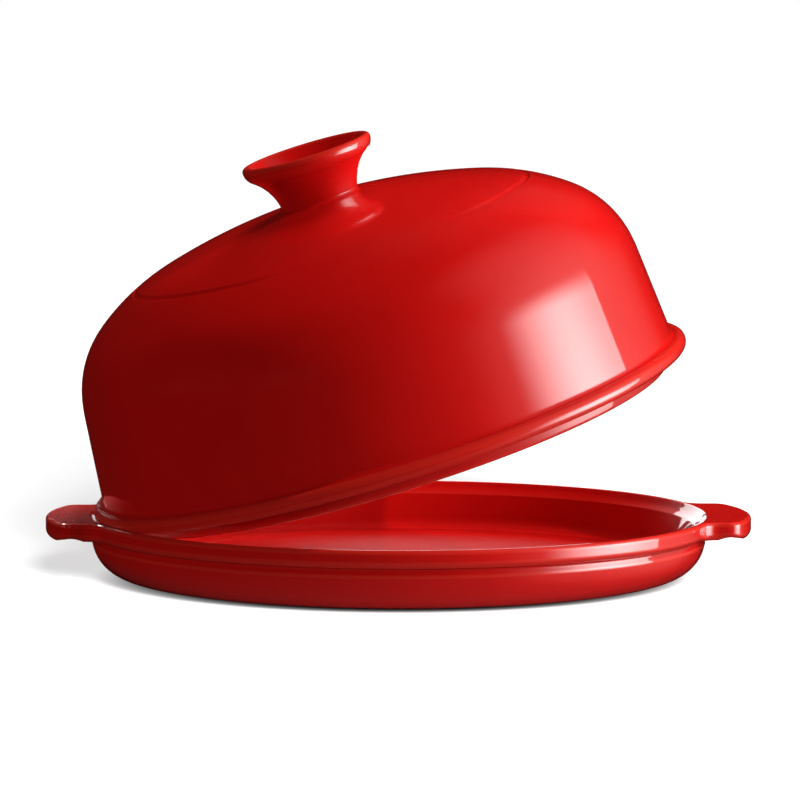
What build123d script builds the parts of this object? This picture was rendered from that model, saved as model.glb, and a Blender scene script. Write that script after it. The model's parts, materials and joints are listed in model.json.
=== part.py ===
from build123d import *

import os
from math import acos, atan2, cos, degrees, hypot, radians, sin, sqrt, tan

os.makedirs("parts", exist_ok=True)

# A bread cloche in glazed stoneware: a round dish with two ear handles, and a domed lid with a
# hollow knob. The lid leans on the dish's rim, with one side raised.
# Millimetres, +Z up. The dish's foot stands on z = 0, centred on the origin, handles along X.

# Lid, outside. Its heights are measured from the bottom of its lip.
dome_radius = 142.8  # the wall, where it meets the bead
crown_height = 124.4  # the crown's top, under the knob
brow_radius = 106.5
shoulder_radius = 49.8
haunch_radius = 73.2
crown_slope = 16.0  # degrees, where the crown passes into the brow
brow_slope = 37.8
shoulder_slope = 78.0
wall_taper = 5.4  # degrees off the upright, wider at the bottom

# Lid, rim
bead_foot = 6.1  # the bead's underside above the lip
bead_height = 7.5
bead_projection = 5.7
bead_top_round = 2.9
bead_under_round = 3.0
bead_cove = 2.5
lip_ledge = 10.7  # how far the lip stands inside the bead
lip_draft = 1.6
lip_thickness = 6.0
lip_round = 2.2
ledge_cove = 1.2

# Lid, inside
lid_wall = 6.5
rim_swell = 11.0  # how far above the bead the wall starts to thicken
rim_blend = 22.0

# Knob
knob_radius = 31.9
neck_radius = 18.7
neck_sweep = 24.1
neck_fillet = 1.6
knob_roll = 7.0
knob_edge = 2.1
knob_flat = 1.2
mouth_round = 2.6
hollow_radius = 12.5
hollow_depth = 18.2
hollow_round = 6.0

# Two grooves ring the crown, one on each side
groove_radius = 98.5
groove_span = 121.6  # degrees
groove_depth = 0.9
groove_bank = 3.4  # width of the gentle side
groove_edge = 0.5  # width of the steep side

# Dish, outside
belly_set_in = 1.2  # the widest place, inside the rim's crest
belly_lean = 15.0  # degrees off the upright, below the widest place
belly_run = 2.7
belly_round = 3.0
dish_round = 19.0
groove_height = 3.8  # between the belly and the rim's underside
groove_set_in = 1.4
groove_fillet = 1.2
foot_height = 1.8
foot_inset = 12.0
foot_width = 7.0
foot_round = 0.7

# Dish, rim
rim_margin = 0.6  # the crest outside the lid's bead
rim_depth = 8.7
rim_flat = 0.3
rim_round = 1.9
rim_under_round = 3.2
crest_round = 1.2
seat_top_slope = 56.0  # degrees
seat_foot_slope = 34.0
seat_top_run = 3.6
seat_foot_run = 3.7
seat_cove = 8.0

# Dish, inside
floor_thickness = 6.7
well_draft = 21.0  # degrees
well_round = 8.0
well_edge_round = 1.2

# Ear handles
handle_projection = 18.9  # past the rim
handle_width = 86.0
handle_bow = 100.0  # radius of the outer edge, seen from above
handle_corner = 7.5
handle_cove = 9.4
finger_width = 13.0
finger_depth = 1.4

# How the lid leans
lean_heading = 11.14  # degrees from +X, the way the raised side points
lean_angle = 17.4
dome_turn = -2.75  # degrees, the grooves' middle from the raised side
pivot_inset = 13.25  # inside the bead, on the low side
pivot_rise = 14.7  # above the seated lip
running_gap = 0.35  # between the seated lid and the dish
overrun = 5.0

# Lid, worked out. The crown's radius closes the outline between the axis and the wall.
bead_top = bead_foot + bead_height
bead_radius = dome_radius + bead_projection
lip_radius = bead_radius - lip_ledge
taper = tan(radians(wall_taper))
slopes = [radians(a) for a in (0, crown_slope, brow_slope, shoulder_slope, 90 - wall_taper)]
arc_radii = [brow_radius, shoulder_radius, haunch_radius]
arc_run = sum(r * (sin(b) - sin(a)) for r, a, b in zip(arc_radii, slopes[1:], slopes[2:]))
arc_drop = sum(r * (cos(a) - cos(b)) for r, a, b in zip(arc_radii, slopes[1:], slopes[2:]))
crown_radius = (dome_radius - arc_run - (crown_height - bead_top - arc_drop) * taper) / (
    sin(slopes[1]) - (1 - cos(slopes[1])) * taper
)
knob_foot = crown_height - lid_wall / 2
knob_turn = acos(1 - (knob_radius - neck_radius) / (neck_sweep + knob_roll))
knob_top = knob_foot + (neck_sweep + knob_roll) * sin(knob_turn) + knob_edge

# Dish, worked out from the lid's bead
crest_radius = bead_radius + rim_margin
rim_radius = crest_radius + rim_flat / 2 + rim_round
dish_radius = crest_radius - belly_set_in
neck_of_dish = dish_radius - groove_set_in
half_corner = radians(90 + belly_lean) / 2
belly_side = dish_round / tan(half_corner) + belly_run
belly_top = foot_height + belly_side * cos(radians(belly_lean))
dish_corner = dish_radius - belly_side * sin(radians(belly_lean))
foot_radius = dish_corner - dish_round / tan(half_corner) - foot_inset
floor_height = foot_height + floor_thickness
rim_underside = belly_top + groove_height
rim_middle = rim_underside + rim_depth / 2
rim_height = rim_underside + rim_depth

# The seat, from the rim's crest down to the edge of the well
seat_angle = radians(seat_top_slope)
crest_inside = crest_radius - rim_flat / 2
seat_start = (
    crest_inside - crest_round * sin(seat_angle),
    rim_height - crest_round * (1 - cos(seat_angle)),
)
seat_middle = (
    seat_start[0] - seat_top_run * cos(seat_angle),
    seat_start[1] - seat_top_run * sin(seat_angle),
)
well_edge = (
    seat_middle[0] - seat_foot_run * cos(radians(seat_foot_slope)),
    seat_middle[1] - seat_foot_run * sin(radians(seat_foot_slope)),
)
floor_radius = well_edge[0] - (well_edge[1] - floor_height) * tan(radians(well_draft))

# Seated, the bead's rounding lies on the seat. From there the lid tips about its low side.
bead_lift = (bead_under_round + running_gap) / cos(seat_angle)
bead_lift -= (seat_middle[0] - bead_radius + bead_under_round) * tan(seat_angle)
seated_height = seat_middle[1] + bead_lift - bead_under_round - bead_foot
pivot_reach = bead_radius - pivot_inset
pivot_height = seated_height + pivot_rise
heading = radians(lean_heading)
lean = radians(lean_angle)
pivot_distance = hypot(pivot_reach, pivot_rise)
pivot_bearing = atan2(-pivot_rise, pivot_reach) + lean
lid_reach = pivot_distance * cos(pivot_bearing) - pivot_reach
lid_height = pivot_distance * sin(pivot_bearing) + pivot_height
lid_plane = Plane(
    origin=(lid_reach * cos(heading), lid_reach * sin(heading), lid_height),
    x_dir=(cos(lean) * cos(heading), cos(lean) * sin(heading), sin(lean)),
    z_dir=(-sin(lean) * cos(heading), -sin(lean) * sin(heading), cos(lean)),
)
lid_axis = Axis(lid_plane.origin, lid_plane.z_dir)


def lid_section(angle):
    """The plane through the lid's axis that faces angle degrees round from the raised side."""
    turn = radians(angle)
    outwards = lid_plane.x_dir * cos(turn) + lid_plane.y_dir * sin(turn)
    return Plane(lid_plane.origin, x_dir=outwards, z_dir=outwards.cross(lid_plane.z_dir))


def dome_skin(depth):
    """Draws the dome's arcs from the axis down to the wall, depth inside its outer face."""
    skin = None
    for radius, start, end in zip([crown_radius] + arc_radii, slopes, slopes[1:]):
        place = (0, crown_height - depth) if skin is None else skin @ 1
        tangent = (1, 0) if skin is None else skin % 1
        skin = JernArc(place, tangent, radius - depth, degrees(start - end))
    return skin


def brow_height(radius):
    """Height of the dome's outer face on the brow, at a distance from the axis."""
    middle = (crown_radius - brow_radius) * sin(slopes[1])
    level = crown_height - crown_radius + (crown_radius - brow_radius) * cos(slopes[1])
    return level + sqrt(brow_radius**2 - (radius - middle) ** 2)


# Lid: dome, rim and knob are one fired piece
with BuildPart() as domed_lid:
    with BuildSketch(lid_section(0)):
        with BuildLine():
            outside = dome_skin(0)
            inside = dome_skin(lid_wall)
            swell_height = bead_top + rim_swell
            swell_radius = (inside @ 1).X + ((inside @ 1).Y - swell_height) * taper
            FilletPolyline(
                outside @ 1,
                (dome_radius, bead_top),
                (bead_radius, bead_top),
                (bead_radius, bead_foot),
                (lip_radius, bead_foot),
                (lip_radius - lip_draft, 0),
                (lip_radius - lip_draft - lip_thickness, 0),
                (swell_radius, swell_height),
                inside @ 1,
                radius=[
                    bead_cove,
                    bead_top_round,
                    bead_under_round,
                    ledge_cove,
                    lip_round,
                    lip_round,
                    rim_blend,
                ],
            )
            Line((0, crown_height - lid_wall), (0, crown_height))
        make_face()
        with BuildLine():
            neck = JernArc((neck_radius, knob_foot), (0, 1), neck_sweep, -degrees(knob_turn))
            roll = JernArc(neck @ 1, neck % 1, knob_roll, degrees(knob_turn))
            edge = JernArc(roll @ 1, roll % 1, knob_edge, 90)
            FilletPolyline(
                edge @ 1,
                (knob_radius - knob_edge - knob_flat, knob_top),
                (hollow_radius, knob_top - hollow_depth),
                (0, knob_top - hollow_depth),
                radius=[mouth_round, hollow_round],
            )
            Polyline((0, knob_top - hollow_depth), (0, knob_foot), (neck_radius, knob_foot))
        make_face()
    revolve(axis=lid_axis)
    necks = domed_lid.edges().filter_by(GeomType.CIRCLE)
    junction = necks.sort_by(
        lambda e: hypot(
            e.radius - neck_radius, lid_plane.to_local_coords(e.arc_center).Z - crown_height
        )
    )[0]
    fillet(junction, radius=neck_fillet)
    for side in (0, 180):
        with BuildSketch(lid_section(dome_turn + side - groove_span / 2)):
            bank = groove_radius - groove_bank
            brink = groove_radius + groove_edge
            with BuildLine():
                Polyline(
                    (bank, brow_height(bank)),
                    (groove_radius, brow_height(groove_radius) - groove_depth),
                    (brink, brow_height(brink)),
                    (brink, brow_height(bank) + groove_depth),
                    (bank, brow_height(bank) + groove_depth),
                    close=True,
                )
            make_face()
        revolve(axis=lid_axis, revolution_arc=groove_span, mode=Mode.SUBTRACT)
domed_lid.part.label = "domed_lid"
export_step(domed_lid.part, "parts/domed_lid.step")

# Dish: bowl, rim and handles are one fired piece
handle_reach = rim_radius + handle_projection
handle_side = handle_reach - handle_bow + sqrt(handle_bow**2 - (handle_width / 2) ** 2)
finger_radius = (finger_width**2 / 4 + finger_depth**2) / (2 * finger_depth)
finger_place = rim_radius + finger_width / 2
with BuildPart() as base_dish:
    with BuildSketch(Plane.XY.offset(rim_underside)) as rim_plan:
        with BuildLine():
            Polyline(
                (handle_side, -handle_width / 2),
                (0, -handle_width / 2),
                (0, handle_width / 2),
                (handle_side, handle_width / 2),
            )
            ThreePointArc(
                (handle_side, handle_width / 2), (handle_reach, 0), (handle_side, -handle_width / 2)
            )
        make_face()
        fillet(rim_plan.vertices().group_by(Axis.X)[-1], radius=handle_corner)
        mirror(about=Plane.YZ)
        Circle(rim_radius)
        on_rim = rim_plan.vertices().filter_by(
            lambda v: abs(hypot(v.X, v.Y) - rim_radius) < rim_flat
        )
        fillet(on_rim, radius=handle_cove)
    extrude(amount=rim_depth)
    fillet(base_dish.edges().group_by(Axis.Z)[-1], radius=rim_round)
    fillet(base_dish.edges().group_by(Axis.Z)[0], radius=rim_under_round)
    with BuildSketch(Plane.XZ):
        with Locations(
            (finger_place, rim_underside + finger_depth - finger_radius),
            (-finger_place, rim_underside + finger_depth - finger_radius),
        ):
            Circle(finger_radius)
    extrude(amount=handle_width / 2 + overrun, both=True, mode=Mode.SUBTRACT)
    with BuildSketch(Plane.XZ):
        with BuildLine():
            FilletPolyline(
                (0, foot_height),
                (foot_radius - foot_width, foot_height),
                (foot_radius - foot_width, 0),
                (foot_radius, 0),
                (foot_radius, foot_height),
                (dish_corner, foot_height),
                (dish_radius, belly_top),
                (neck_of_dish, rim_underside),
                (neck_of_dish, rim_middle),
                (0, rim_middle),
                radius=[0, foot_round, foot_round, 0, dish_round, belly_round, 0, 0],
            )
            Line((0, rim_middle), (0, foot_height))
        make_face()
    revolve(axis=Axis.Z)
    under_rim = base_dish.edges().filter_by(GeomType.CIRCLE).sort_by(
        lambda e: hypot(e.radius - neck_of_dish, e.arc_center.Z - rim_underside)
    )[0]
    fillet(under_rim, radius=groove_fillet)
    with BuildSketch(Plane.XZ):
        with BuildLine():
            seat = FilletPolyline(
                (0, floor_height),
                (floor_radius, floor_height),
                well_edge,
                seat_middle,
                seat_start,
                radius=[well_round, well_edge_round, seat_cove],
            )
            crest = JernArc(seat_start, (cos(seat_angle), sin(seat_angle)), crest_round, -seat_top_slope)
            Polyline(
                crest @ 1,
                (crest_inside, rim_height + overrun),
                (0, rim_height + overrun),
                (0, floor_height),
            )
        make_face()
    revolve(axis=Axis.Z, mode=Mode.SUBTRACT)
base_dish.part.label = "base_dish"
export_step(base_dish.part, "parts/base_dish.step")

print("crown radius", crown_radius, "knob top", knob_top, "rim height", rim_height)
print("lid origin", lid_plane.origin, "seated height", seated_height)
print("pivot", -pivot_reach * cos(heading), -pivot_reach * sin(heading), pivot_height)
print("dish corner", dish_corner, "foot", foot_radius, "rim", rim_radius, "well edge", well_edge)
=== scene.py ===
import json
import math

import bpy
import numpy as np
from mathutils import Matrix, Vector


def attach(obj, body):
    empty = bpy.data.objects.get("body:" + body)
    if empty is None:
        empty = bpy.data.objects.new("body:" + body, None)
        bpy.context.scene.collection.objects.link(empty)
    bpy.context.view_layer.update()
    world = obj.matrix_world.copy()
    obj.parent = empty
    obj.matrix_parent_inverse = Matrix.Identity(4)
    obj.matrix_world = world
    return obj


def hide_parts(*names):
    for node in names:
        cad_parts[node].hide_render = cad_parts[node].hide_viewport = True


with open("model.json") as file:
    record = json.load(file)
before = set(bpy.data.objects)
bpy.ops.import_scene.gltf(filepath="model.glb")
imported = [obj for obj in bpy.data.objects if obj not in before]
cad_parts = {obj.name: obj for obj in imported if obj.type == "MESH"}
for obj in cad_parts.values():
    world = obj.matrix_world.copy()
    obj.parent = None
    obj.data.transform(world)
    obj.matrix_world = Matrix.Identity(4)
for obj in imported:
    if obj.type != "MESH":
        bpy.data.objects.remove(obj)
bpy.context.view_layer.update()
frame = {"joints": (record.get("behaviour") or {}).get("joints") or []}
mm = 0.001
litre = 0.001  # in cubic metres
black, white = (0, 0, 0, 1), (1, 1, 1, 1)
tiltJoint = frame["joints"][0]


class Wire:  # a node's socket that can stand in a sum
    def __init__(self, tree, socket):
        self.tree = tree
        self.socket = socket

    def maths(self, operation, *others):
        return self.tree.node("ShaderNodeMath", {"operation": operation}, dict(enumerate((self, *others))))

    def turned(self, operation, other):
        # the reflected form, with this socket second
        return self.tree.node("ShaderNodeMath", {"operation": operation}, {0: other, 1: self})

    def __add__(self, other):
        return self.maths("ADD", other)

    def __sub__(self, other):
        return self.maths("SUBTRACT", other)

    def __rsub__(self, other):
        return self.turned("SUBTRACT", other)

    def __mul__(self, other):
        return self.maths("MULTIPLY", other)

    def __truediv__(self, other):
        return self.maths("DIVIDE", other)

    def __rtruediv__(self, other):
        return self.turned("DIVIDE", other)

    __radd__ = __add__
    __rmul__ = __mul__


class NodeTree:  # wraps a shader or geometry tree, and adds every node through one method
    def __init__(self, tree):
        self.tree = tree
        tree.nodes.clear()

    def node(self, kind, settings=None, values=None, output=0):
        made = self.tree.nodes.new(kind)
        for name, setting in (settings or {}).items():
            setattr(made, name, setting)
        for place, value in (values or {}).items():
            if isinstance(value, Wire):
                self.tree.links.new(value.socket, made.inputs[place])
            else:
                made.inputs[place].default_value = value
        return Wire(self, made.outputs[output]) if len(made.outputs) else None

    def also(self, wire, output):
        # another output of the node that the wire comes from
        return Wire(self, wire.socket.node.outputs[output])

    def smooth(self, value, low, high, toLow=0.0, toHigh=1.0):
        return self.node("ShaderNodeMapRange", {"interpolation_type": "SMOOTHSTEP"}, {
            "Value": value, "From Min": low, "From Max": high, "To Min": toLow, "To Max": toHigh})

    def mixColour(self, factor, first, second):
        # a Mix node's colours are its inputs 6 and 7, and their mix is its output 2
        return self.node("ShaderNodeMix", {"data_type": "RGBA"}, {0: factor, 6: first, 7: second}, 2)

    def noise(self, place, scale, detail, roughness):
        return self.node("ShaderNodeTexNoise", None, {
            "Vector": place, "Scale": scale, "Detail": detail, "Roughness": roughness})

    def bump(self, height):
        # the height is in metres
        return self.node("ShaderNodeBump", None, {"Strength": 1.0, "Distance": 1.0, "Height": height})


def newMaterial(name):
    material = bpy.data.materials.new(name)
    material.use_nodes = True
    return material, NodeTree(material.node_tree)


def addObject(name, data):
    made = bpy.data.objects.new(name, data)
    bpy.context.scene.collection.objects.link(made)
    return made


def storeShares(mesh, name, shares):
    # one number for each point, which a tree or the glaze reads by its name
    mesh.attributes.new(name, "FLOAT", "POINT").data.foreach_set("value", np.array(shares, np.float32))


# Outlines are lists of (radius, height) in millimetres, with arcs cut into short steps

arcStep = math.radians(7)
lineEnd = 0.5  # how far a straight run's first and last inner points lie from its ends
samePoint = 0.02  # points closer than this are one
hair = 0.001  # closer than this is level
thinRadius = 3.0  # the glaze is thinnest on edges at least as sharp as this
thinReach = 0.2  # steps shorter than this count as this long


def arcPoints(centre, radius, start, stop, longest):
    sweep = stop - start
    steps = max(2, math.ceil(abs(sweep) / arcStep), math.ceil(abs(sweep) * radius / longest))
    angles = [start + sweep * i / steps for i in range(steps + 1)]
    return [(centre[0] + radius * math.cos(a), centre[1] + radius * math.sin(a)) for a in angles]


def linePoints(start, stop, longest):
    # inner points of a straight run, close to its ends so that a rounding's shading stays on it
    length = math.dist(start, stop)
    if length < 3 * lineEnd:
        return []
    steps = max(1, math.ceil((length - 2 * lineEnd) / longest))
    places = [lineEnd + (length - 2 * lineEnd) * i / steps for i in range(steps + 1)]
    return [tuple(a + (b - a) * p / length for a, b in zip(start, stop)) for p in places]


def roundedPath(corners, radii, longest=4.0):
    # corners joined by straight runs, each inner corner rounded by its radius
    ends = []
    for i in range(1, len(corners) - 1):
        before, here, after = (np.array(corners[i + k], float) for k in (-1, 0, 1))
        inwards, outwards = here - before, after - here
        inwards /= np.linalg.norm(inwards)
        outwards /= np.linalg.norm(outwards)
        cross = inwards[0] * outwards[1] - inwards[1] * outwards[0]
        turn = math.atan2(cross, float(inwards @ outwards))
        reach = radii[i - 1] * math.tan(abs(turn) / 2)
        side = math.copysign(1, turn)
        start = here - inwards * reach
        centre = start + side * radii[i - 1] * np.array([-inwards[1], inwards[0]])
        first = math.atan2(*(start - centre)[::-1])
        ends.append(arcPoints(centre, radii[i - 1], first, first + turn, longest))
    runs = [[tuple(corners[0])], *ends, [tuple(corners[-1])]]
    path = list(runs[0])
    for run in runs[1:]:
        path += linePoints(path[-1], run[0], longest) + run
    return path


def tangentArc(start, heading, radius, turn, longest=2.5):
    # an arc that leaves start along heading; a positive turn bends left
    side = math.copysign(1, turn)
    centre = (start[0] - side * radius * math.sin(heading), start[1] + side * radius * math.cos(heading))
    first = heading - side * math.pi / 2
    return arcPoints(centre, radius, first, first + turn, longest), heading + turn


def withoutRepeats(path, closest=samePoint):
    kept = [path[0]]
    for point in path[1:]:
        if math.dist(point[:2], kept[-1][:2]) > closest:
            kept.append(point)
    return kept


def thinness(path):
    # how sharply the profile bulges, as the glaze runs thin on edges
    points = np.array(path)
    ahead, behind = np.roll(points, -1, 0) - points, points - np.roll(points, 1, 0)
    cross = behind[:, 0] * ahead[:, 1] - behind[:, 1] * ahead[:, 0]
    turn = np.arctan2(cross, (behind * ahead).sum(1))
    length = (np.linalg.norm(ahead, axis=1) + np.linalg.norm(behind, axis=1)) / 2
    bulge = np.clip(turn / np.maximum(length, thinReach) * thinRadius, 0, 1)
    bulge[[0, -1]] = 0
    return bulge


# Glaze and bare clay. Each noise is a scale, a detail and a roughness, and each span is where a
# colour begins to show and where it is all there

def glazeMaterial(name, look):
    material, tree = newMaterial(name)
    place = tree.node("ShaderNodeTexCoord", output="Object")
    wave = tree.noise(place, *look["wave"])
    cloud = tree.noise(place, *look["cloud"])
    peel = tree.noise(place, *look["peel"])
    thin = tree.node("ShaderNodeAttribute", {"attribute_name": "thin"}, output="Fac")
    pits = tree.node("ShaderNodeAttribute", {"attribute_name": "pits"}, output="Fac")
    shade = tree.smooth(cloud, *look["cloudSpan"])
    colour = tree.mixColour(shade * look["cloudShare"], look["colour"], look["deepColour"])
    edge = tree.smooth(thin, *look["thinSpan"])
    colour = tree.mixColour(edge * look["thinShare"], colour, look["thinColour"])
    grit = tree.noise(place, *look["grit"])
    # the pits show pale specks: painted glints, together with paler clay in the pits
    glintSpeck = tree.smooth(grit, *look["glintSpeckSpan"]) * pits
    colour = tree.mixColour(glintSpeck * look["glintSpeckShare"], colour, look["glintSpeckColour"])
    height = wave * look["waveHeight"] + peel * look["peelHeight"] + grit * pits * look["pitDepth"]
    roughness = look["roughness"] + shade * look["roughnessSpread"] + pits * look["pitRoughness"]
    shader = tree.node("ShaderNodeBsdfPrincipled", None, {
        "Base Color": colour, "Roughness": roughness, "Normal": tree.bump(height),
        "IOR": look["ior"], "Coat Weight": look["coat"], "Coat Roughness": look["coatRoughness"],
        "Coat IOR": look["coatIor"]})
    tree.node("ShaderNodeOutputMaterial", None, {"Surface": shader})
    return material


def clayMaterial(name, look):
    material, tree = newMaterial(name)
    place = tree.node("ShaderNodeTexCoord", output="Object")
    grain = tree.noise(place, *look["grain"])
    colour = tree.mixColour(tree.smooth(grain, *look["darkSpan"]), look["colour"], look["darkColour"])
    shader = tree.node("ShaderNodeBsdfPrincipled", None, {
        "Base Color": colour, "Roughness": look["roughness"],
        "Normal": tree.bump(grain * look["grainHeight"])})
    tree.node("ShaderNodeOutputMaterial", None, {"Surface": shader})
    return material


redGlaze = glazeMaterial("redGlaze", {
    "colour": (0.60, 0.0055, 0.0045, 1), "wave": (26.0, 1.0, 0.4), "waveHeight": 0.00004,
    "peel": (260.0, 2.0, 0.5), "peelHeight": 0.000006,
    "deepColour": (0.56, 0.0045, 0.0035, 1), "cloud": (34.0, 3.0, 0.55), "cloudSpan": (0.3, 0.7),
    "cloudShare": 0.6,
    "thinColour": (0.66, 0.028, 0.016, 1), "thinSpan": (0.15, 1.0), "thinShare": 0.5,
    "glintSpeckColour": (0.95, 0.42, 0.36, 1), "grit": (900.0, 3.0, 0.6), "glintSpeckSpan": (0.56, 0.66),
    "glintSpeckShare": 0.5, "pitDepth": 0.00035, "pitRoughness": 0.1,
    "roughness": 0.4, "roughnessSpread": 0.04, "ior": 1.22,
    "coat": 1.0, "coatRoughness": 0.04, "coatIor": 1.6})
bareClay = clayMaterial("bareClay", {
    "colour": (0.62, 0.48, 0.36, 1), "darkColour": (0.50, 0.37, 0.27, 1), "darkSpan": (0.3, 0.7),
    "grain": (700.0, 5.0, 0.7), "grainHeight": 0.0003, "roughness": 0.9})
print("materials made")

# Lid: one profile in millimetres, turned about the lid's axis, with two grooves round the crown

lid = {
    "domeRadius": 142.8, "crownHeight": 124.4,
    "arcRadii": (106.5, 49.8, 73.2), "arcSlopes": (16.0, 37.8, 78.0), "wallTaper": 5.4,
    "beadFoot": 6.1, "beadHeight": 7.5, "beadProjection": 5.7, "beadTopRound": 3.6,
    "beadUnderRound": 3.6, "beadCove": 2.5, "lipLedge": 10.7, "lipDraft": 1.6,
    "lipThickness": 6.0, "lipRound": 2.2, "ledgeCove": 1.2, "wall": 6.5,
    "rimSwell": 11.0, "rimBlend": 22.0,
    "knobRadius": 31.9, "neckRadius": 18.7, "neckSweep": 24.1, "neckFillet": 1.6,
    "knobRoll": 7.0, "knobEdge": 2.1, "knobFlat": 1.2, "mouthRound": 2.6,
    "hollowRadius": 12.5, "hollowDepth": 18.2, "hollowRound": 6.0,
    "grooveRadius": 98.5, "grooveSpan": 121.6, "grooveFade": 9.0, "grooveDepth": 1.0,
    "grooveBank": 1.9, "grooveEdge": 1.1, "grooveTurn": -2.75, "grooveHollow": 1.3,
    "pivotRise": 14.7, "turns": 264,
    # the longest steps, and how far points keep from a join
    "knobStep": 1.0, "hollowStep": 2.0, "filletStep": 0.5, "grooveStep": 0.3, "grooveMargin": 1.5,
    "neckGap": 0.2, "crownGap": 0.3, "seamGap": 0.004,
}


def domeArcs(crownRadius, depth):
    # the skin from the axis down to the wall
    slopes = [0.0, *(math.radians(a) for a in lid["arcSlopes"]), math.radians(90 - lid["wallTaper"])]
    point, heading, path = (0.0, lid["crownHeight"] - depth), 0.0, []
    for radius, start, stop in zip((crownRadius, *lid["arcRadii"]), slopes, slopes[1:]):
        run, heading = tangentArc(point, heading, radius - depth, start - stop)
        path += run
        point = run[-1]
    return path


def crownRadiusOf():
    # the crown's radius that closes the skin between the axis and the wall
    slopes = [math.radians(a) for a in (*lid["arcSlopes"], 90 - lid["wallTaper"])]
    arcs = list(zip(lid["arcRadii"], slopes, slopes[1:]))
    run = sum(r * (math.sin(b) - math.sin(a)) for r, a, b in arcs)
    drop = sum(r * (math.cos(a) - math.cos(b)) for r, a, b in arcs)
    taper = math.tan(math.radians(lid["wallTaper"]))
    wallHeight = lid["crownHeight"] - lid["beadFoot"] - lid["beadHeight"] - drop
    return (lid["domeRadius"] - run - wallHeight * taper) / (
        math.sin(slopes[0]) - (1 - math.cos(slopes[0])) * taper)


def neckFillet(crownRadius, neckCentre):
    # touches the crown outside and the neck's sweep
    crown = (0.0, lid["crownHeight"] - crownRadius)
    reachCrown, reachNeck = crownRadius + lid["neckFillet"], lid["neckSweep"] - lid["neckFillet"]
    gap = math.dist(crown, neckCentre)
    along = (reachCrown ** 2 - reachNeck ** 2 + gap ** 2) / (2 * gap)
    aside = math.sqrt(reachCrown ** 2 - along ** 2)
    unit = ((neckCentre[0] - crown[0]) / gap, (neckCentre[1] - crown[1]) / gap)
    centre = (crown[0] + unit[0] * along - unit[1] * aside,
              crown[1] + unit[1] * along + unit[0] * aside)
    onCrown = math.atan2(crown[1] - centre[1], crown[0] - centre[0])
    onNeck = math.atan2(centre[1] - neckCentre[1], centre[0] - neckCentre[0])
    if onNeck < 0:
        onNeck += 2 * math.pi
    if onCrown < 0:
        onCrown += 2 * math.pi
    return arcPoints(centre, lid["neckFillet"], onCrown, onNeck, lid["filletStep"])


def knobOutline(crownRadius):
    # from the crown up the neck, over the rolled edge and down into the hollow
    foot = lid["crownHeight"] - lid["wall"] / 2
    turn = math.acos(1 - (lid["knobRadius"] - lid["neckRadius"]) / (lid["neckSweep"] + lid["knobRoll"]))
    step = lid["knobStep"]
    neck, heading = tangentArc((lid["neckRadius"], foot), math.pi / 2, lid["neckSweep"], -turn, step)
    roll, heading = tangentArc(neck[-1], heading, lid["knobRoll"], turn, step)
    edge, heading = tangentArc(roll[-1], heading, lid["knobEdge"], math.pi / 2, step)
    top = edge[-1][1]
    floor = top - lid["hollowDepth"]
    hollow = roundedPath(
        [edge[-1], (lid["knobRadius"] - lid["knobEdge"] - lid["knobFlat"], top),
         (lid["hollowRadius"], floor), (0.0, floor)],
        [lid["mouthRound"], lid["hollowRound"]], lid["hollowStep"])
    fillet = neckFillet(crownRadius, (lid["neckRadius"] + lid["neckSweep"], foot))
    above = [p for p in neck if p[1] > fillet[-1][1] + lid["neckGap"]]
    return fillet + above + roll + edge + hollow, fillet[0]


def finerAtGroove(path):
    # short steps where the groove is cut, on the outside only
    low = lid["grooveRadius"] - lid["grooveBank"] - lid["grooveMargin"]
    high = lid["grooveRadius"] + lid["grooveEdge"] + lid["grooveMargin"]
    fine = []
    for here, after in zip(path, path[1:]):
        fine.append(here)
        if low < here[0] < high and here[1] > lid["crownHeight"] / 2 and here[0] > after[0]:
            steps = math.ceil(math.dist(here, after) / lid["grooveStep"])
            fine += [tuple(a + (b - a) * i / steps for a, b in zip(here, after))
                     for i in range(1, steps)]
    return fine + [path[-1]]


def lidProfile():
    # from the axis inside the dome, round the rim, over the crown and the knob into its hollow
    crownRadius = crownRadiusOf()
    inside, outside = domeArcs(crownRadius, lid["wall"]), domeArcs(crownRadius, 0.0)
    knob, crownEnd = knobOutline(crownRadius)
    beadTop = lid["beadFoot"] + lid["beadHeight"]
    beadRadius = lid["domeRadius"] + lid["beadProjection"]
    lipRadius = beadRadius - lid["lipLedge"]
    swell = beadTop + lid["rimSwell"]
    taper = math.tan(math.radians(lid["wallTaper"]))
    lipInside = lipRadius - lid["lipDraft"] - lid["lipThickness"]
    rim = roundedPath(
        [inside[-1], (inside[-1][0] + (inside[-1][1] - swell) * taper, swell), (lipInside, 0.0),
         (lipRadius - lid["lipDraft"], 0.0), (lipRadius, lid["beadFoot"]),
         (beadRadius, lid["beadFoot"]), (beadRadius, beadTop), (lid["domeRadius"], beadTop), outside[-1]],
        [lid["rimBlend"], lid["lipRound"], lid["lipRound"], lid["ledgeCove"], lid["beadUnderRound"],
         lid["beadTopRound"], lid["beadCove"]])
    skin = [p for p in reversed(outside) if p[0] > crownEnd[0] + lid["crownGap"]]
    return finerAtGroove(withoutRepeats(inside + rim + skin + knob)), len(inside)


def profileMesh(name, path, insideCount):
    # the profile as loose points, with what the tree needs to know of each
    mesh = bpy.data.meshes.new(name)
    mesh.from_pydata([(r * mm, 0, h * mm) for r, h in path], [], [])
    groove = []
    for i, (r, h) in enumerate(path):
        offset = r - lid["grooveRadius"]
        ramp = 1 + offset / lid["grooveBank"] if offset < 0 else 1 - offset / lid["grooveEdge"]
        onCrown = i > insideCount and h > lid["crownHeight"] / 2
        groove.append(max(0.0, ramp) ** lid["grooveHollow"] if onCrown else 0.0)
    storeShares(mesh, "groove", groove)
    storeShares(mesh, "bulge", thinness(path))
    return mesh


turningInputs = {
    "Turns": "Int", "Groove Depth": "Float", "Groove Span": "Float", "Groove Fade": "Float",
    "Groove Turn": "Float", "Seam Gap": "Float", "Centre": "Vector", "Lean": "Vector",
    "Finish": "Material"}


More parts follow.
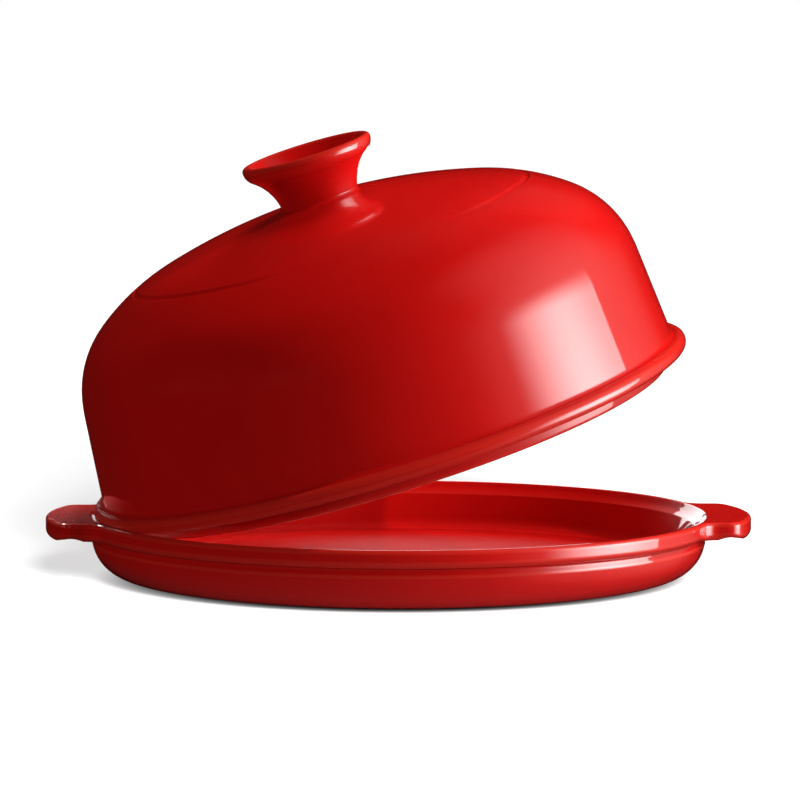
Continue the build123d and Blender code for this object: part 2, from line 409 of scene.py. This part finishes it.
def turningTree(name):
    # turns the profile about its axis, cuts the grooves, then leans the lid
    group = bpy.data.node_groups.new(name, "GeometryNodeTree")
    tree = NodeTree(group)
    group.interface.new_socket("Geometry", in_out="INPUT", socket_type="NodeSocketGeometry")
    for label, kind in turningInputs.items():
        group.interface.new_socket(label, in_out="INPUT", socket_type="NodeSocket" + kind)
    group.interface.new_socket("Geometry", in_out="OUTPUT", socket_type="NodeSocketGeometry")
    given = tree.node("NodeGroupInput", output="Geometry")
    turns, depth, span, fade, turn, seam, centre, lean, finish = (
        tree.also(given, label) for label in turningInputs)
    count = tree.node("GeometryNodeAttributeDomainSize", {"component": "MESH"}, {"Geometry": given})
    grid = tree.node("GeometryNodeMeshGrid", None, {
        "Size X": 1.0, "Size Y": 1.0, "Vertices X": turns + 1, "Vertices Y": count})
    index = tree.node("GeometryNodeInputIndex")
    column = (index / count).maths("FLOOR")
    row = index - column * count
    place = tree.node("GeometryNodeSampleIndex", {"data_type": "FLOAT_VECTOR"}, {
        "Geometry": given, "Value": tree.node("GeometryNodeInputPosition"), "Index": row})
    shares = []
    for label in ("groove", "bulge"):
        named = tree.node("GeometryNodeInputNamedAttribute", {"data_type": "FLOAT"}, {
            "Name": label})
        shares.append(tree.node("GeometryNodeSampleIndex", {"data_type": "FLOAT"}, {
            "Geometry": given, "Value": named, "Index": row}))
    radius = tree.node("ShaderNodeSeparateXYZ", None, {0: place}, "X")
    height = tree.also(radius, "Z")
    angle = column / turns * (2 * math.pi)
    # both grooves share one rule, because they lie half a turn apart
    halfTurns = (angle - turn + math.pi / 2) / math.pi
    offCentre = (halfTurns.maths("FRACT") - 0.5).maths("ABSOLUTE") * math.pi
    present = tree.smooth(offCentre, span / 2 - fade, span / 2 + fade, 1.0, 0.0)
    sunk = height - shares[0] * present * depth
    position = tree.node("ShaderNodeCombineXYZ", None, {
        "X": radius * angle.maths("COSINE"), "Y": radius * angle.maths("SINE"), "Z": sunk})
    turned = tree.node("GeometryNodeSetPosition", None, {"Geometry": grid, "Position": position})
    glazed = tree.node("GeometryNodeStoreNamedAttribute", {
        "data_type": "FLOAT", "domain": "POINT"}, {
        "Geometry": turned, "Name": "thin", "Value": shares[1]})
    # the seam and the two ends on the axis are closed
    closed = tree.node("GeometryNodeMergeByDistance", None, {"Geometry": glazed, "Distance": seam})
    leaned = tree.node("GeometryNodeTransform", None, {
        "Geometry": closed, "Translation": centre, "Rotation": lean})
    real = tree.node("GeometryNodeRealizeInstances", None, {"Geometry": leaned})
    soft = tree.node("GeometryNodeSetShadeSmooth", None, {"Geometry": real})
    done = tree.node("GeometryNodeSetMaterial", None, {"Geometry": soft, "Material": finish})
    tree.node("NodeGroupOutput", None, {"Geometry": done})
    return group


def applyTree(piece, group, settings):
    # sets the tree's inputs by their identifiers, and leaves the piece a plain mesh
    modifier = piece.modifiers.new(group.name, "NODES")
    modifier.node_group = group
    for item in group.interface.items_tree:
        if item.in_out == "INPUT" and item.name in settings:
            modifier[item.identifier] = settings[item.name]
    bpy.context.view_layer.update()
    evaluated = piece.evaluated_get(bpy.context.evaluated_depsgraph_get())
    grown = bpy.data.meshes.new_from_object(evaluated)
    piece.modifiers.remove(modifier)
    piece.data = grown


def outwards(mesh):
    # a closed mesh whose signed volume is negative is inside out, so it is turned; gives the volume
    mesh.calc_loop_triangles()
    places = np.zeros(len(mesh.vertices) * 3)
    mesh.vertices.foreach_get("co", places)
    corners = np.zeros(len(mesh.loop_triangles) * 3, int)
    mesh.loop_triangles.foreach_get("vertices", corners)
    a, b, c = places.reshape(-1, 3)[corners.reshape(-1, 3)].transpose(1, 0, 2)
    volume = float((a * np.cross(b, c)).sum()) / 6
    if volume < 0:
        mesh.flip_normals()
    return abs(volume)


def makeLid():
    piece = addObject("domedLidGlazed", profileMesh("domedLidGlazed", *lidProfile()))
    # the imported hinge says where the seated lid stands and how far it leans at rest
    pivot, axis = Vector(tiltJoint["pos_m"]), Vector(tiltJoint["axis"])
    leaning = math.radians(-tiltJoint["range_deg"][0])
    seated = Vector((0, 0, pivot.z - lid["pivotRise"] * mm))
    centre = pivot + Matrix.Rotation(leaning, 3, axis) @ (seated - pivot)
    heading = math.atan2(axis.x, -axis.y)
    applyTree(piece, turningTree("lidTurning"), {
        "Turns": lid["turns"], "Groove Depth": lid["grooveDepth"] * mm,
        "Groove Span": math.radians(lid["grooveSpan"]),
        "Groove Fade": math.radians(lid["grooveFade"]),
        "Groove Turn": math.radians(lid["grooveTurn"]), "Seam Gap": lid["seamGap"] * mm,
        "Centre": tuple(centre), "Lean": (0.0, -leaning, heading), "Finish": redGlaze})
    litres = outwards(piece.data) / litre
    print("lid", len(piece.data.polygons), "faces, clay", round(litres, 3), "litres")
    return piece


domedLid = makeLid()
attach(domedLid, "lid")
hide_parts("domed_lid")

# Dish: rings from the underside's middle over the rim to the floor's middle, in millimetres. The
# rim's rings follow the plan with its two ears

dish = {
    "rimRadius": 151.15, "crestRadius": 149.1, "setIn": 1.2, "bellyLean": 15.0, "bellyRun": 2.7,
    "bellyRound": 3.0, "cornerRound": 19.0, "grooveHeight": 3.8, "grooveSetIn": 1.4,
    "grooveFillet": 1.2, "ledgeRun": 6.0, "ledgeKept": 3.0,
    "footHeight": 1.8, "footInset": 12.0, "footWidth": 7.0, "footRound": 0.7, "bareShare": 0.6,
    "rimDepth": 8.7, "rimFlat": 0.3, "rimRound": 1.9, "rimUnderRound": 3.2, "rimThinness": 0.8,
    "crestRound": 1.2, "seatTopSlope": 56.0, "seatFootSlope": 34.0, "seatTopRun": 3.6,
    "seatFootRun": 3.7, "seatCove": 8.0,
    "floorThickness": 6.7, "wellDraft": 21.0, "wellRound": 8.0, "wellEdgeRound": 1.2,
    "earReach": 170.05, "earHalfWidth": 43.0, "earBow": 100.0, "earCorner": 7.5, "earCove": 9.4,
    "fingerWidth": 13.0, "fingerDepth": 1.4, "tipFrom": 4.5, "tipFull": 14.5, "tipDrop": 1.1,
    "pitsFrom": 1.0, "pitsFade": 4.0,
    # the plan's longest steps, the outlines' and the rings between them
    "bowStep": 1.6, "cornerStep": 0.8, "sideStep": 1.2, "rimStep": 3.6, "planGap": 0.05,
    "outlineStep": 6.0, "crestStep": 0.3, "flatRings": 12, "underRoundRings": 11,
    "topRoundRings": 9, "sideShares": (0.15, 0.5, 0.85), "endShares": (0.02, 0.98),
}
crestInside = dish["crestRadius"] - dish["rimFlat"] / 2


def rimPlan():
    # the rim seen from above: points and normals, from an ear's tip all the way round
    reach, half, bow = dish["earReach"], dish["earHalfWidth"], dish["earBow"]
    corner, cove, rim = dish["earCorner"], dish["earCove"], dish["rimRadius"]
    bowX, cornerY = reach - bow, half - corner
    cornerX = bowX + math.sqrt((bow - corner) ** 2 - cornerY ** 2)
    coveY = half + cove
    coveX = math.sqrt((rim + cove) ** 2 - coveY ** 2)
    bend = math.atan2(cornerY, cornerX - bowX)
    join = math.atan2(coveY, coveX)
    quarter = []  # from the ear's tip round to the side

    def follow(centre, radius, start, stop, longest, sign):
        steps = max(3, math.ceil(abs(stop - start) * radius / longest))
        for i in range(steps + 1):
            a = start + (stop - start) * i / steps
            quarter.append((centre[0] + radius * math.cos(a), centre[1] + radius * math.sin(a),
                            sign * math.cos(a), sign * math.sin(a)))

    follow((bowX, 0.0), bow, 0.0, bend, dish["bowStep"], 1)
    follow((cornerX, cornerY), corner, bend, math.pi / 2, dish["cornerStep"], 1)
    runs = max(2, math.ceil((cornerX - coveX) / dish["sideStep"]))
    quarter.extend((cornerX + (coveX - cornerX) * i / runs, half, 0.0, 1.0) for i in range(1, runs))
    follow((coveX, coveY), cove, -math.pi / 2, join - math.pi, dish["cornerStep"], -1)
    follow((0.0, 0.0), rim, join, math.pi / 2, dish["rimStep"], 1)
    kept = withoutRepeats(quarter, dish["planGap"])
    back = kept + [(-x, y, -nx, ny) for x, y, nx, ny in reversed(kept[:-1])]
    return np.array(back + [(x, -y, nx, -ny) for x, y, nx, ny in reversed(back[1:-1])])


class RingStack:  # rings from the underside up, each with a point for every point of the plan
    def __init__(self, plan):
        bearing = np.arctan2(plan[:, 1], plan[:, 0])
        self.circle = np.column_stack([np.cos(bearing), np.sin(bearing)])
        self.outline, self.normal = plan[:, :2], plan[:, 2:]
        self.rings, self.below, self.bulges = [], [], []

    def add(self, flat, height, isBelow=False, bulge=0.0):
        # isBelow marks the rings that lie under the rim's top round
        self.rings.append(np.column_stack([flat, np.full(len(flat), height)]))
        self.below.append(isBelow)
        self.bulges.append(bulge)

    def addCircles(self, path):
        for (radius, height), bulge in zip(path, thinness(path)):
            self.add(self.circle * radius, height, bulge=bulge)

    def addBetween(self, start, stop, height, shares, isBelow):
        for share in shares:
            self.add(start + (stop - start) * share, height, isBelow)

    def addRound(self, radius, height, first, last, steps, isBelow):
        # a quarter round along the plan's edge, from angle first to last
        for i in range(steps + 1):
            a = first + (last - first) * i / steps
            flat = self.outline - self.normal * (radius * (1 - math.cos(a)))
            self.add(flat, height + radius * math.sin(a), isBelow, dish["rimThinness"])


def bellyOutline():
    # from the underside's middle over the foot ring and the belly into the groove under the rim
    lean = math.radians(dish["bellyLean"])
    bellyRadius = dish["crestRadius"] - dish["setIn"]
    halfCorner = (math.pi / 2 + lean) / 2
    side = dish["cornerRound"] / math.tan(halfCorner) + dish["bellyRun"]
    bellyTop = dish["footHeight"] + side * math.cos(lean)
    cornerRadius = bellyRadius - side * math.sin(lean)
    foot = cornerRadius - dish["cornerRound"] / math.tan(halfCorner) - dish["footInset"]
    under = bellyTop + dish["grooveHeight"]
    neck = bellyRadius - dish["grooveSetIn"]
    outline = roundedPath(
        [(0.0, dish["footHeight"]), (foot - dish["footWidth"], dish["footHeight"]),
         (foot - dish["footWidth"], 0.0), (foot, 0.0), (foot, dish["footHeight"]),
         (cornerRadius, dish["footHeight"]), (bellyRadius, bellyTop), (neck, under),
         (neck + dish["ledgeRun"], under)],
        [*[dish["footRound"]] * 4, dish["cornerRound"], dish["bellyRound"], dish["grooveFillet"]],
        dish["outlineStep"])
    # the ledge under the rim is left to the rings that follow the plan
    return [p for p in withoutRepeats(outline)
            if p[1] <= under - hair or p[0] <= neck + dish["ledgeKept"]], under


def addRim(stack, start, under, top):
    # from the groove out under the rim, up its edge and in again to the crest
    lowRound, highRound = dish["rimUnderRound"], dish["rimRound"]
    lowEdge, highEdge = (stack.outline - stack.normal * radius for radius in (lowRound, highRound))
    shares = [i / dish["flatRings"] for i in range(1, dish["flatRings"])]
    stack.addBetween(stack.circle * start, lowEdge, under, shares, True)
    stack.addRound(lowRound, under + lowRound, -math.pi / 2, 0.0, dish["underRoundRings"], True)
    straight = dish["rimDepth"] - lowRound - highRound
    for share in dish["sideShares"]:
        stack.add(stack.outline, under + lowRound + straight * share, True)
    stack.addRound(highRound, top - highRound, 0.0, math.pi / 2, dish["topRoundRings"], False)
    first, last = dish["endShares"]
    stack.addBetween(highEdge, stack.circle * crestInside, top, [first, *shares, last], False)


def wellOutline(top):
    # from the crest down the lid's seat and the well to the floor's middle
    steep, shallow = math.radians(dish["seatTopSlope"]), math.radians(dish["seatFootSlope"])
    seatStart = (crestInside - dish["crestRound"] * math.sin(steep),
                 top - dish["crestRound"] * (1 - math.cos(steep)))
    seatMiddle = (seatStart[0] - dish["seatTopRun"] * math.cos(steep),
                  seatStart[1] - dish["seatTopRun"] * math.sin(steep))
    wellEdge = (seatMiddle[0] - dish["seatFootRun"] * math.cos(shallow),
                seatMiddle[1] - dish["seatFootRun"] * math.sin(shallow))
    floor = dish["footHeight"] + dish["floorThickness"]
    floorRadius = wellEdge[0] - (wellEdge[1] - floor) * math.tan(math.radians(dish["wellDraft"]))
    crest, _ = tangentArc((crestInside, top), math.pi, dish["crestRound"], steep, dish["crestStep"])
    seat = roundedPath([seatStart, seatMiddle, wellEdge, (floorRadius, floor), (0.0, floor)],
                       [dish["seatCove"], dish["wellEdgeRound"], dish["wellRound"]],
                       dish["outlineStep"])
    return withoutRepeats(crest + seat)


def shapeEars(rings, below, under, top):
    # the ears' undersides arch for the fingers
    width, depth = dish["fingerWidth"], dish["fingerDepth"]
    radius = (width ** 2 / 4 + depth ** 2) / (2 * depth)
    middle = dish["rimRadius"] + width / 2
    offset = np.abs(np.abs(rings[:, :, 0]) - middle)
    rise = np.sqrt(np.maximum(radius ** 2 - offset ** 2, 0)) - radius + depth
    arch = np.where(offset < width / 2, rise, 0)
    sideTop = top - dish["rimRound"]
    low = np.clip((sideTop - rings[:, :, 2]) / (sideTop - under), 0, 1)
    # and their tips are thicker below
    tip = np.clip((np.abs(rings[:, :, 0]) - dish["rimRadius"] - dish["tipFrom"])
                  / (dish["tipFull"] - dish["tipFrom"]), 0, 1)
    drop = dish["tipDrop"] * tip * tip * (3 - 2 * tip)
    rings[:, :, 2] += (arch * low ** 2 - drop * low) * below[:, None]


def ringFaces(rows, turns):
    # quads from ring to ring, and a fan of triangles round each of the two end points
    index = np.arange(rows * turns).reshape(rows, turns)
    after = np.roll(index, -1, 1)
    lowPoint, highPoint = rows * turns, rows * turns + 1
    quads = np.stack([index[:-1], after[:-1], after[1:], index[1:]], -1).reshape(-1, 4)
    faces = [tuple(q) for q in quads.tolist()]
    faces += [(int(b), int(a), lowPoint) for a, b in zip(index[0], after[0])]
    faces += [(int(a), int(b), highPoint) for a, b in zip(index[-1], after[-1])]
    return faces


def makeDish():
    belly, under = bellyOutline()
    top = under + dish["rimDepth"]
    stack = RingStack(rimPlan())
    stack.addCircles(belly)
    addRim(stack, belly[-1][0], under, top)
    stack.addCircles(wellOutline(top))
    rings, below = np.array(stack.rings), np.array(stack.below)
    shapeEars(rings, below, under, top)
    # the first and last rings have no width, so each becomes one point
    count, turns = rings.shape[:2]
    points = np.vstack([rings[1:-1].reshape(-1, 3), rings[0, 0], rings[-1, -1]])
    faces = ringFaces(count - 2, turns)
    mesh = bpy.data.meshes.new("baseDishGlazed")
    mesh.from_pydata((points * mm).tolist(), [], faces)
    mesh.materials.append(redGlaze)
    mesh.materials.append(bareClay)
    mesh.shade_smooth()
    storeShares(mesh, "thin", np.append(np.repeat(stack.bulges[1:-1], turns), (0, 0)))
    # the ear at -X is pitted on top, and its pits carry painted glints
    x, z = points[:, 0], points[:, 2]
    pits = np.clip((-x - dish["rimRadius"] - dish["pitsFrom"]) / dish["pitsFade"], 0, 1)
    storeShares(mesh, "pits", pits * (z > top - dish["rimRound"]))
    bareBelow = dish["footRound"] * dish["bareShare"]
    bare = [all(points[v][2] < bareBelow for v in face) for face in faces]
    mesh.polygons.foreach_set("material_index", np.array(bare, np.int32))
    piece = addObject("baseDishGlazed", mesh)
    litres = outwards(mesh) / litre
    print("dish", len(faces), "faces, clay", round(litres, 3), "litres, rim", round(top, 2))
    return piece


baseDish = makeDish()
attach(baseDish, "dish")
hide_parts("base_dish")

# Floor, light and camera, in metres, degrees and watts

view = {"azimuth": -1.89, "elevation": 5.30, "distance": 2.593, "roll": 0.09,
        "target": (0.0005, 0.0, 0.08596), "focal": 242.28, "sensor": 36.0, "clipEnd": 50.0}
floorLook = {
    "reach": 12.0, "shade": 0.26, "farShade": 0.008, "bounceCentre": (0.15, -0.05, 0),
    "bounceFrom": 0.12, "bounceTo": 0.36, "seenShade": 0.3, "mirroredShade": 0.005, "near": 0.68,
    "shadowCentre": (-0.3, 0.3, 0), "fadeFrom": 0.36, "fadeTo": 0.47, "contactShadowFrom": 0.117,
    "contactShadowTo": 0.15, "mirrorFrom": 0.14, "mirrorTo": 0.17}


def makeFloor():
    mesh = bpy.data.meshes.new("floor")
    reach = floorLook["reach"]
    corners = [(x * reach, y * reach, 0) for x, y in ((-1, -1), (1, -1), (1, 1), (-1, 1))]
    mesh.from_pydata(corners, [], [(0, 1, 2, 3)])
    floor = addObject("floor", mesh)
    material, tree = newMaterial("paleFloor")
    place = tree.node("ShaderNodeTexCoord", output="Object")
    distance = tree.node("ShaderNodeVectorMath", {"operation": "LENGTH"}, {0: place}, "Value")
    aside, beside = (tree.node("ShaderNodeVectorMath", {"operation": "DISTANCE"}, {
        0: place, 1: floorLook[centre]}, "Value") for centre in ("shadowCentre", "bounceCentre"))
    seen = tree.node("ShaderNodeLightPath", output="Is Camera Ray")
    mirrored = tree.also(seen, "Is Glossy Ray")
    # what the camera sees of the floor glows white, with a soft shadow behind the lid's low side
    shown = tree.smooth(aside, floorLook["fadeFrom"], floorLook["fadeTo"], floorLook["near"], 1.0)
    # painted contact shadow: the floor's white glow fades out under the belly, where the dish meets the
    # floor
    shown = shown * tree.smooth(distance, floorLook["contactShadowFrom"], floorLook["contactShadowTo"])
    # the light that the floor throws back on the cloche
    bounced = tree.smooth(beside, floorLook["bounceFrom"], floorLook["bounceTo"], floorLook["shade"],
                          floorLook["farShade"])
    pale = (seen * floorLook["seenShade"] + mirrored * floorLook["mirroredShade"]
            + tree.also(seen, "Is Diffuse Ray") * bounced)
    plain = tree.node("ShaderNodeBsdfDiffuse", None, {"Color": tree.mixColour(pale, black, white)})
    bright = tree.node("ShaderNodeEmission", None, {"Color": white, "Strength": seen * shown})
    both = tree.node("ShaderNodeAddShader", None, {0: plain, 1: bright})
    # the glaze mirrors only the floor that is close to the dish, and past it the key card
    past = mirrored * tree.smooth(distance, floorLook["mirrorFrom"], floorLook["mirrorTo"])
    mixed = tree.node("ShaderNodeMixShader", None, {
        0: past, 1: both, 2: tree.node("ShaderNodeBsdfTransparent")})
    tree.node("ShaderNodeOutputMaterial", None, {"Surface": mixed})
    material.cycles.emission_sampling = "NONE"
    mesh.materials.append(material)
    return floor


def makeWorld(look):
    world = bpy.data.worlds.new("studio")
    bpy.context.scene.world = world
    world.use_nodes = True
    tree = NodeTree(world.node_tree)
    seen = tree.node("ShaderNodeLightPath", output="Is Camera Ray")
    # the glaze mirrors a dim room, which grows brighter towards +X. The camera sees white, and what
    # the glaze scatters comes from the faint fill
    way = tree.node("ShaderNodeTexCoord", output="Generated")
    side = tree.smooth(tree.node("ShaderNodeSeparateXYZ", None, {0: way}, "X"), *look["span"])
    room = tree.mixColour(side, look["farRoom"], look["nearRoom"])
    fill = (*[look["fill"]] * 3, 1)
    room = tree.mixColour(tree.also(seen, "Is Glossy Ray"), fill, room)
    colour = tree.mixColour(seen, room, white)
    backdrop = tree.node("ShaderNodeBackground", None, {"Color": colour, "Strength": 1.0})
    tree.node("ShaderNodeOutputWorld", None, {"Surface": backdrop})


def direction(azimuth, elevation):
    # azimuth runs from the near side (-Y) towards +X
    a, e = math.radians(azimuth), math.radians(elevation)
    return Vector((math.sin(a) * math.cos(e), -math.cos(a) * math.cos(e), math.sin(e)))


def makeLamp(name, look):
    isSpot = "cone" in look
    data = bpy.data.lights.new(name, "SPOT" if isSpot else "AREA")
    data.energy = look["power"]
    if isSpot:
        data.spot_size, data.spot_blend = math.radians(look["cone"]), look["coneBlend"]
        data.shadow_soft_size = look["width"]
    else:
        data.shape = "RECTANGLE"
        data.size, data.size_y = look["width"], look["height"]
    lamp = addObject(name, data)
    away = direction(look["azimuth"], look["elevation"])
    lamp.location = Vector(look["aim"]) + away * look["distance"]
    lamp.rotation_euler = away.to_track_quat("Z", "Y").to_euler()
    lamp.visible_camera = False
    lamp.visible_glossy = look["mirrored"]
    lamp.light_linking.receiver_collection = lit[look["lights"]]


def makeCard(name, look):
    # a glowing card square to its direction, brightest at "full" across it and between its two hot
    # heights, with "rightShare" of that at its right side and a haze above and below
    out = direction(look["azimuth"], look["elevation"])
    along = Vector((-out.y, out.x, 0)).normalized()
    up = out.cross(along)
    corners = [out * look["distance"] + along * side + up * height
               for side, height in ((look["left"], look["bottom"]), (look["right"], look["bottom"]),
                                    (look["right"], look["top"]), (look["left"], look["top"]))]
    mesh = bpy.data.meshes.new(name)
    mesh.from_pydata([tuple(c) for c in corners], [], [(0, 3, 2, 1)])
    card = addObject(name, mesh)
    card.visible_camera = False
    card.visible_shadow = False
    material, tree = newMaterial(name)
    place = tree.node("ShaderNodeTexCoord", output="Object")
    across, height = (tree.node("ShaderNodeVectorMath", {"operation": "DOT_PRODUCT"}, {
        0: place, 1: tuple(way)}, "Value") for way in (along, up))
    level = tree.smooth(across, look["left"], look["full"]) * tree.smooth(
        across, look["full"], look["right"], 1.0, look["rightShare"])
    soft = look["hotSoft"]
    hot = tree.smooth(height, look["hotTop"] - soft, look["hotTop"] + soft, 1.0, 0.0) * tree.smooth(
        height, look["hotBottom"] - soft, look["hotBottom"] + soft)
    haze = tree.smooth(height, look["hotTop"], look["top"], 1.0, 0.0) * tree.smooth(
        height, look["bottom"], look["hotBottom"])
    level = level * (hot * (1 - look["haze"]) + haze * look["haze"])
    colour = tree.mixColour(level, black, white)
    glow = tree.node("ShaderNodeEmission", None, {"Color": colour, "Strength": look["strength"]})
    # what lies behind the card shows through where it glows less
    both = tree.node("ShaderNodeAddShader", None, {0: glow, 1: tree.node("ShaderNodeBsdfTransparent")})
    tree.node("ShaderNodeOutputMaterial", None, {"Surface": both})
    mesh.materials.append(material)


def makeCamera():
    back = direction(view["azimuth"], view["elevation"])
    data = bpy.data.cameras.new("camera")
    data.lens, data.sensor_width = view["focal"], view["sensor"]
    data.clip_end = view["clipEnd"]
    camera = addObject("camera", data)
    camera.location = Vector(view["target"]) + back * view["distance"]
    roll = Matrix.Rotation(math.radians(view["roll"]), 3, "Z")
    turn = (-back).to_track_quat("-Z", "Y").to_matrix() @ roll
    camera.rotation_euler = turn.to_euler()
    bpy.context.scene.camera = camera


# each lamp lights either the cloche or the floor
lit = {}
for name, pieces in (("cloche", (domedLid, baseDish)), ("floor", (makeFloor(),))):
    lit[name] = bpy.data.collections.new(name + "Lit")
    for piece in pieces:
        lit[name].objects.link(piece)
makeWorld({"fill": 0.01, "span": (0.5, 0.95), "farRoom": (0.08, 0.004, 0.003, 1),
           "nearRoom": (0.36, 0.34, 0.3, 1)})
makeCard("keyCard", {
    "azimuth": 83.0, "elevation": 0.0, "distance": 1.6, "left": -1.12, "full": -0.1, "right": 0.58,
    "rightShare": 0.5, "top": 1.07, "bottom": -0.8, "hotTop": 0.63, "hotBottom": -0.25, "hotSoft": 0.28,
    "haze": 0.18, "strength": 11.0})
makeCard("glowCard", {
    "azimuth": 85.0, "elevation": 45.0, "distance": 2.0, "left": -1.8, "full": 0.0, "right": 1.8,
    "rightShare": 0.0, "top": 1.7, "bottom": -1.3, "hotTop": 0.2, "hotBottom": -0.2, "hotSoft": 0.01,
    "haze": 1.0, "strength": 0.45})
# the glaze mirrors none of the lamps apart from the two small ones, as in the photo
studioLamp = {"aim": (0, 0, 0.1), "mirrored": False, "lights": "cloche"}
lamps = {
    "keyLamp": {"azimuth": 77.5, "elevation": 45.0, "distance": 3.0, "width": 0.08, "height": 0.08,
                "power": 52.0},
    "crownLamp": {"azimuth": 160.0, "elevation": 33.0, "distance": 2.5, "width": 1.0, "height": 0.6,
                  "power": 101.0},
    "topLamp": {"azimuth": 180.0, "elevation": 65.0, "distance": 2.5, "width": 1.0, "height": 1.0,
                "power": 24.0},
    "fillLamp": {"azimuth": -35.0, "elevation": 3.0, "distance": 2.5, "width": 1.2, "height": 0.6,
                 "power": 9.8},
    "sideLamp": {"azimuth": 55.0, "elevation": 15.0, "distance": 2.5, "width": 1.0, "height": 1.0,
                 "power": 12.5},
    "lowLamp": {"azimuth": -75.0, "elevation": 3.0, "distance": 1.5, "width": 1.2, "height": 0.2,
                "power": 2.6},
    "floorLamp": {"azimuth": 7.0, "elevation": 22.0, "distance": 4.0, "width": 1.0, "height": 1.0,
                  "power": 650.0, "aim": (0, 0.2, 0), "lights": "floor"},
    "backLamp": {"azimuth": 174.0, "elevation": 0.0, "distance": 0.35, "width": 0.16, "height": 0.11,
                 "power": 0.15, "aim": (0, 0, 0.105), "mirrored": True},
    "earLamp": {"azimuth": -165.0, "elevation": 30.0, "distance": 0.5, "width": 0.04, "cone": 7.0,
                "coneBlend": 0.6, "power": 6.0, "aim": (-0.158, 0, 0.024), "mirrored": True},
}
for name, look in lamps.items():
    makeLamp(name, {**studioLamp, **look})
makeCamera()
bpy.context.scene.view_settings.view_transform = "Standard"
print("floor, light and camera made")
